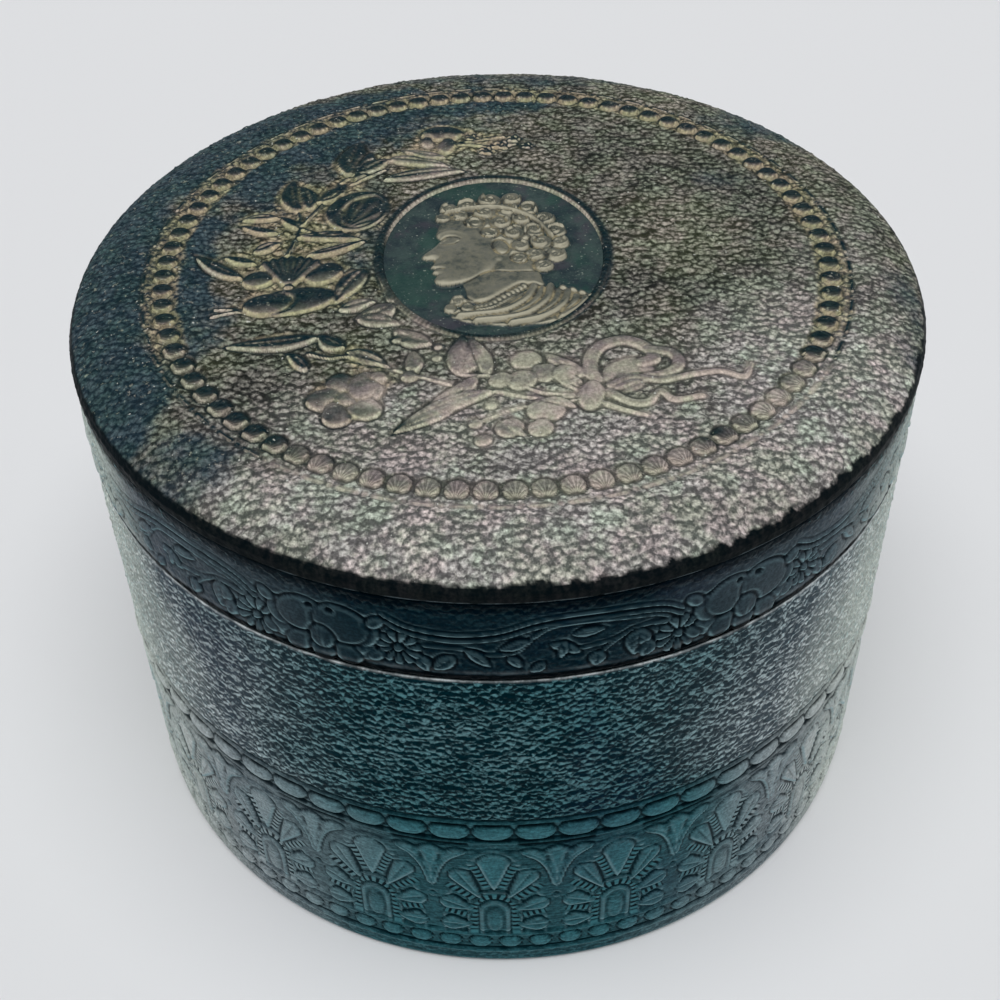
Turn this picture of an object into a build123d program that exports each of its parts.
from build123d import *
from math import atan, cos, radians, sin
import os

# A round box for rolled collars and cuffs: card tubes and discs, an embossed
# covering outside, a cloth lining inside, a lift-off lid and a small lidded
# pot for collar studs. Millimetres, +Z up, origin under the middle of the
# base, front towards -Y.

# Outside of the closed box
cover_radius = 88.7
body_seam = 98.4
lid_side_height = 22.8
seam_gap = 0.3

# Crowned top of the lid: a rounded rim, a padded shoulder and a shallow dome
rim_round = 2.2
rim_slope = 30.0
shoulder_radius = 73.8
dome_rise = 1.2
top_edge_turn_down = 2.4
wadding_edge = 0.8

# Thickness of each sheet and board
cover_thickness = 0.8
top_cover_thickness = 1.2
card_thickness = 2.6
board_thickness = 2.2
lining_thickness = 0.4
base_paper_thickness = 0.4
neck_thickness = 1.4

# Turned-in edges of the covering
turn_in_width = 12.0
base_paper_margin = 4.0

# Neck that the lid slides over
neck_height = 11.0
lid_clearance = 0.35

# Plain relief of the covering
rail_height = 0.3
rail_width = 0.9
margin_height = 5.8
low_strip_height = 6.3
arch_band_height = 34.6
bead_strip_height = 7.4

# Border on the lid's top: a narrow rail outside a wider band of shells
border_shoulder_gap = 0.4
shell_band_gap = 1.7
shell_band_width = 4.5

# Sunk oval of the medallion on the lid
medallion_across = 46.6
medallion_along = 56.5
medallion_shift_x = -0.6
medallion_shift_y = 2.4
medallion_depth = 0.5

# Padded panel inside the lid
pad_card_thickness = 0.8
pad_edge_thickness = 2.0
pad_crown = 3.6
pad_edge_clearance = 0.3

# Pot for collar studs on the floor
floor_lining_thickness = 1.2
pot_radius = 25.4
pot_wall_thickness = 1.4
pot_height = 52.0
pot_base_thickness = 1.2
pot_cover_thickness = 0.5
pot_lid_clearance = 0.35
pot_lid_gap = 0.3
pot_lid_wall_thickness = 1.0
pot_lid_depth = 9.0
pot_lid_board_thickness = 1.5
pot_lid_cover_thickness = 0.5
pot_lid_crown = 1.6
tab_width = 9.0
tab_height = 11.0
tab_thickness = 1.2
tab_end_round = 3.0

# Radii of the body, from the outside in
wall_radius = cover_radius - cover_thickness
wall_inner_radius = wall_radius - card_thickness
neck_inner_radius = wall_inner_radius - neck_thickness
room_radius = neck_inner_radius - lining_thickness
neck_face_radius = wall_inner_radius + lining_thickness

# Radii of the lid
lid_room_radius = neck_face_radius + lid_clearance
lid_wall_inner_radius = lid_room_radius + lining_thickness

# Heights of the body
turn_in_level = base_paper_thickness
base_board_bottom = turn_in_level + cover_thickness
base_board_top = base_board_bottom + board_thickness
floor_level = base_board_top + floor_lining_thickness
wall_top = body_seam - cover_thickness
neck_top = body_seam + neck_height

# Heights of the lid
lid_seam = body_seam + seam_gap
lid_wall_bottom = lid_seam + cover_thickness
side_top = lid_seam + lid_side_height
top_edge_bottom = side_top - top_edge_turn_down
border_rail_radius = shoulder_radius - border_shoulder_gap
shell_band_radius = border_rail_radius - rail_width / 2 - shell_band_gap - shell_band_width / 2
lid_board_top = side_top - wadding_edge
lid_board_bottom = lid_board_top - board_thickness
pad_card_bottom = lid_board_bottom - pad_card_thickness

# Heights and radii of the stud pot
pot_floor = floor_level + pot_base_thickness
pot_rim = floor_level + pot_height
pot_wall_radius = pot_radius + pot_wall_thickness
pot_face_radius = pot_wall_radius + pot_cover_thickness
pot_lid_inner_radius = pot_face_radius + pot_lid_clearance
pot_lid_wall_radius = pot_lid_inner_radius + pot_lid_wall_thickness
pot_lid_face_radius = pot_lid_wall_radius + pot_lid_cover_thickness
pot_lid_lining_bottom = pot_rim + pot_lid_gap
pot_lid_board_bottom = pot_lid_lining_bottom + lining_thickness
pot_lid_board_top = pot_lid_board_bottom + pot_lid_board_thickness
pot_lid_seam = pot_rim - pot_lid_depth


def turned(outline):
    """Turn a closed outline of (radius, height) edges about the box's axis."""
    return revolve(make_face(Plane.XZ * outline), Axis.Z)


def ring(inner, outer, bottom, top):
    """A plain tube about the box's axis."""
    corners = [(inner, bottom), (outer, bottom), (outer, top), (inner, top)]
    return turned(Polyline(corners, close=True))


def disc(radius, bottom, top):
    """A plain round board about the box's axis."""
    corners = [(0, bottom), (radius, bottom), (radius, top), (0, top)]
    return turned(Polyline(corners, close=True))


def rail(radius, height, proud):
    """A half-round ridge that runs round a wall of this radius at this height."""
    half = rail_width / 2
    low = (radius - proud, height - half)
    high = (radius - proud, height + half)
    root_low = (radius, height - half)
    root_high = (radius, height + half)
    crest = (radius + proud, height)
    outline = Line(low, root_low) + ThreePointArc(root_low, crest, root_high)
    outline += Line(root_high, high) + Line(high, low)
    return turned(outline)


def flat_rail(radius, width, level, proud):
    """A low rounded ridge that runs round the lid's top at this radius."""
    half = width / 2
    inside = (radius - half, level)
    outside = (radius + half, level)
    crest = (radius, level + proud)
    inside_root = (radius - half, level - proud)
    outside_root = (radius + half, level - proud)
    outline = Line(inside_root, inside) + ThreePointArc(inside, crest, outside)
    outline += Line(outside, outside_root) + Line(outside_root, inside_root)
    return turned(outline)


def crown(side_inset, top_inset):
    """Edges of the lid's crowned top, from its middle to its side, moved in by two insets.

    Returns the edges, the point in the middle and the point on the side.
    """
    bend = rim_round - side_inset
    radius = cover_radius - side_inset
    dome_end = 2 * atan(dome_rise / shoulder_radius)
    slope = radians(rim_slope)
    run = radius - bend * (1 - sin(slope)) - shoulder_radius
    fall = run * (cos(dome_end) - cos(slope)) / (sin(slope) - sin(dome_end))
    side = (radius, side_top - top_inset + side_inset)
    flank = (shoulder_radius + run, side[1] + bend * cos(slope))
    shoulder = (shoulder_radius, flank[1] + fall)
    centre = (0, shoulder[1] + dome_rise)
    edges = TangentArc(centre, shoulder, tangent=(1, 0))
    edges += TangentArc(shoulder, flank, tangent=(cos(dome_end), -sin(dome_end)))
    edges += TangentArc(flank, side, tangent=(cos(slope), -sin(slope)))
    return edges, centre, side


def crown_level(radius):
    """Height of the lid's top surface at a radius inside the shoulder."""
    centre = crown(0, 0)[1]
    return centre[1] - dome_rise * (radius / shoulder_radius) ** 2


# Body


def make_body_wall():
    return ring(wall_inner_radius, wall_radius, base_board_bottom, wall_top)


def make_base_board():
    return disc(neck_inner_radius, base_board_bottom, base_board_top)


def make_base_paper():
    return disc(cover_radius - base_paper_margin, 0, base_paper_thickness)


def make_body_cover():
    turn_in_radius = cover_radius - turn_in_width
    outline = Polyline(
        [
            (turn_in_radius, turn_in_level),
            (cover_radius, turn_in_level),
            (cover_radius, body_seam),
            (wall_inner_radius, body_seam),
            (wall_inner_radius, wall_top),
            (wall_radius, wall_top),
            (wall_radius, base_board_bottom),
            (turn_in_radius, base_board_bottom),
        ],
        close=True,
    )
    cover = turned(outline)
    heights = [
        margin_height,
        margin_height + low_strip_height,
        margin_height + low_strip_height + arch_band_height,
        margin_height + low_strip_height + arch_band_height + bead_strip_height,
    ]
    for height in heights:
        cover += rail(cover_radius, height, rail_height)
    return cover


def make_neck_ring():
    return ring(neck_inner_radius, wall_inner_radius, base_board_bottom, neck_top)


def make_wall_lining():
    """Lining of the wall, folded over the neck and down its outside to the seam."""
    outline = Polyline(
        [
            (room_radius, floor_level),
            (neck_inner_radius, floor_level),
            (neck_inner_radius, neck_top),
            (wall_inner_radius, neck_top),
            (wall_inner_radius, body_seam),
            (neck_face_radius, body_seam),
            (neck_face_radius, neck_top + lining_thickness),
            (room_radius, neck_top + lining_thickness),
        ],
        close=True,
    )
    return turned(outline)


def make_floor_lining():
    return disc(neck_inner_radius, base_board_top, floor_level)


# Stud pot


def make_stud_pot_base():
    return disc(pot_radius, floor_level, pot_floor)


def make_stud_pot_wall():
    return ring(pot_radius, pot_wall_radius, floor_level, pot_rim)


def make_stud_pot_cover():
    return ring(pot_wall_radius, pot_face_radius, floor_level, pot_rim)


def make_stud_pot_lining():
    return ring(pot_radius - lining_thickness, pot_radius, pot_floor, pot_rim)


def make_stud_lid_rim():
    bottom = pot_lid_seam + pot_lid_cover_thickness
    return ring(pot_lid_inner_radius, pot_lid_wall_radius, bottom, pot_lid_board_bottom)


def make_stud_lid_board():
    return disc(pot_lid_wall_radius, pot_lid_board_bottom, pot_lid_board_top)


def make_stud_lid_lining():
    return disc(pot_lid_inner_radius, pot_lid_lining_bottom, pot_lid_board_bottom)


def make_stud_lid_cover():
    """Covering of the pot's lid, crowned on top and turned in under the rim."""
    top = pot_lid_board_top + pot_lid_cover_thickness
    centre = (0, top + pot_lid_crown)
    edge = (pot_lid_face_radius, top)
    low_outside = (pot_lid_face_radius, pot_lid_seam)
    low_inside = (pot_lid_inner_radius, pot_lid_seam)
    low_step = (pot_lid_inner_radius, pot_lid_seam + pot_lid_cover_thickness)
    low_corner = (pot_lid_wall_radius, pot_lid_seam + pot_lid_cover_thickness)
    inner_corner = (pot_lid_wall_radius, pot_lid_board_top)
    inner_centre = (0, pot_lid_board_top)
    outline = TangentArc(centre, edge, tangent=(1, 0))
    outline += Polyline(
        [edge, low_outside, low_inside, low_step, low_corner, inner_corner, inner_centre, centre]
    )
    return turned(outline) - make_tab_blank()


def make_tab_blank():
    """Ribbon tab with its round end, down to the board of the pot's lid."""
    top = pot_lid_board_top + pot_lid_cover_thickness + pot_lid_crown + tab_height
    middle = (pot_lid_board_top + top) / 2
    face = Rectangle(tab_width, top - pot_lid_board_top)
    face = fillet(face.vertices().group_by(Axis.Y)[-1], min(tab_end_round, tab_width / 3))
    blank = extrude(Plane.XZ * face, tab_thickness / 2, both=True)
    return Pos(0, 0, middle) * blank


def make_stud_lid_tab():
    return make_tab_blank()


# Lid


def make_lid_wall():
    return ring(lid_wall_inner_radius, wall_radius, lid_wall_bottom, lid_board_bottom)


def make_lid_board():
    return disc(wall_radius, lid_board_bottom, lid_board_top)


def make_lid_side_cover():
    """Covering of the lid's side, turned in under the edge."""
    outline = Polyline(
        [
            (wall_radius, top_edge_bottom),
            (cover_radius, top_edge_bottom),
            (cover_radius, lid_seam),
            (lid_room_radius, lid_seam),
            (lid_room_radius, lid_wall_bottom),
            (wall_radius, lid_wall_bottom),
        ],
        close=True,
    )
    return turned(outline) + rail(cover_radius, lid_seam + rail_width, rail_height)


def make_lid_wall_lining():
    return ring(lid_room_radius, lid_wall_inner_radius, lid_wall_bottom, lid_board_bottom)


def make_lid_top_padding():
    """Wadding between the lid's board and its crowned covering."""
    edges, centre, side = crown(cover_thickness, top_cover_thickness)
    below = Polyline([side, (wall_radius, lid_board_top), (0, lid_board_top), centre])
    return turned(edges + below)


def make_lid_top_cover():
    """Covering of the crowned top, turned down over the edge of the side."""
    outside, outer_centre, outer_side = crown(0, 0)
    inside, inner_centre, inner_side = crown(cover_thickness, top_cover_thickness)
    edge = Polyline([outer_side, (cover_radius, top_edge_bottom), (wall_radius, top_edge_bottom), inner_side])
    cover = turned(outside + edge + inside + Line(inner_centre, outer_centre))
    for radius, width in [(border_rail_radius, rail_width), (shell_band_radius, shell_band_width)]:
        cover += flat_rail(radius, width, crown_level(radius), rail_height)
    oval = Ellipse(medallion_across / 2, medallion_along / 2)
    level = outer_centre[1] - medallion_depth
    recess = extrude(Pos(medallion_shift_x, medallion_shift_y, level) * oval, top_cover_thickness)
    return cover - recess


def make_lid_pad_card():
    return disc(lid_room_radius - pad_edge_clearance, pad_card_bottom, lid_board_bottom)


def make_lid_pad():
    """Padded panel under the lid's board, crowned downwards."""
    radius = lid_room_radius - pad_edge_clearance
    edge_bottom = pad_card_bottom - pad_edge_thickness
    centre_bottom = edge_bottom - pad_crown
    outline = Line((0, pad_card_bottom), (radius, pad_card_bottom))
    outline += Line((radius, pad_card_bottom), (radius, edge_bottom))
    outline += TangentArc((0, centre_bottom), (radius, edge_bottom), tangent=(1, 0))
    outline += Line((0, centre_bottom), (0, pad_card_bottom))
    return turned(outline)


makers = {
    "body_wall": make_body_wall,
    "base_board": make_base_board,
    "base_paper": make_base_paper,
    "body_cover": make_body_cover,
    "neck_ring": make_neck_ring,
    "wall_lining": make_wall_lining,
    "floor_lining": make_floor_lining,
    "stud_pot_base": make_stud_pot_base,
    "stud_pot_wall": make_stud_pot_wall,
    "stud_pot_cover": make_stud_pot_cover,
    "stud_pot_lining": make_stud_pot_lining,
    "stud_lid_rim": make_stud_lid_rim,
    "stud_lid_board": make_stud_lid_board,
    "stud_lid_lining": make_stud_lid_lining,
    "stud_lid_cover": make_stud_lid_cover,
    "stud_lid_tab": make_stud_lid_tab,
    "lid_wall": make_lid_wall,
    "lid_board": make_lid_board,
    "lid_side_cover": make_lid_side_cover,
    "lid_wall_lining": make_lid_wall_lining,
    "lid_top_padding": make_lid_top_padding,
    "lid_top_cover": make_lid_top_cover,
    "lid_pad_card": make_lid_pad_card,
    "lid_pad": make_lid_pad,
}

os.makedirs("parts", exist_ok=True)
for name, make in makers.items():
    export_step(make(), f"parts/{name}.step")
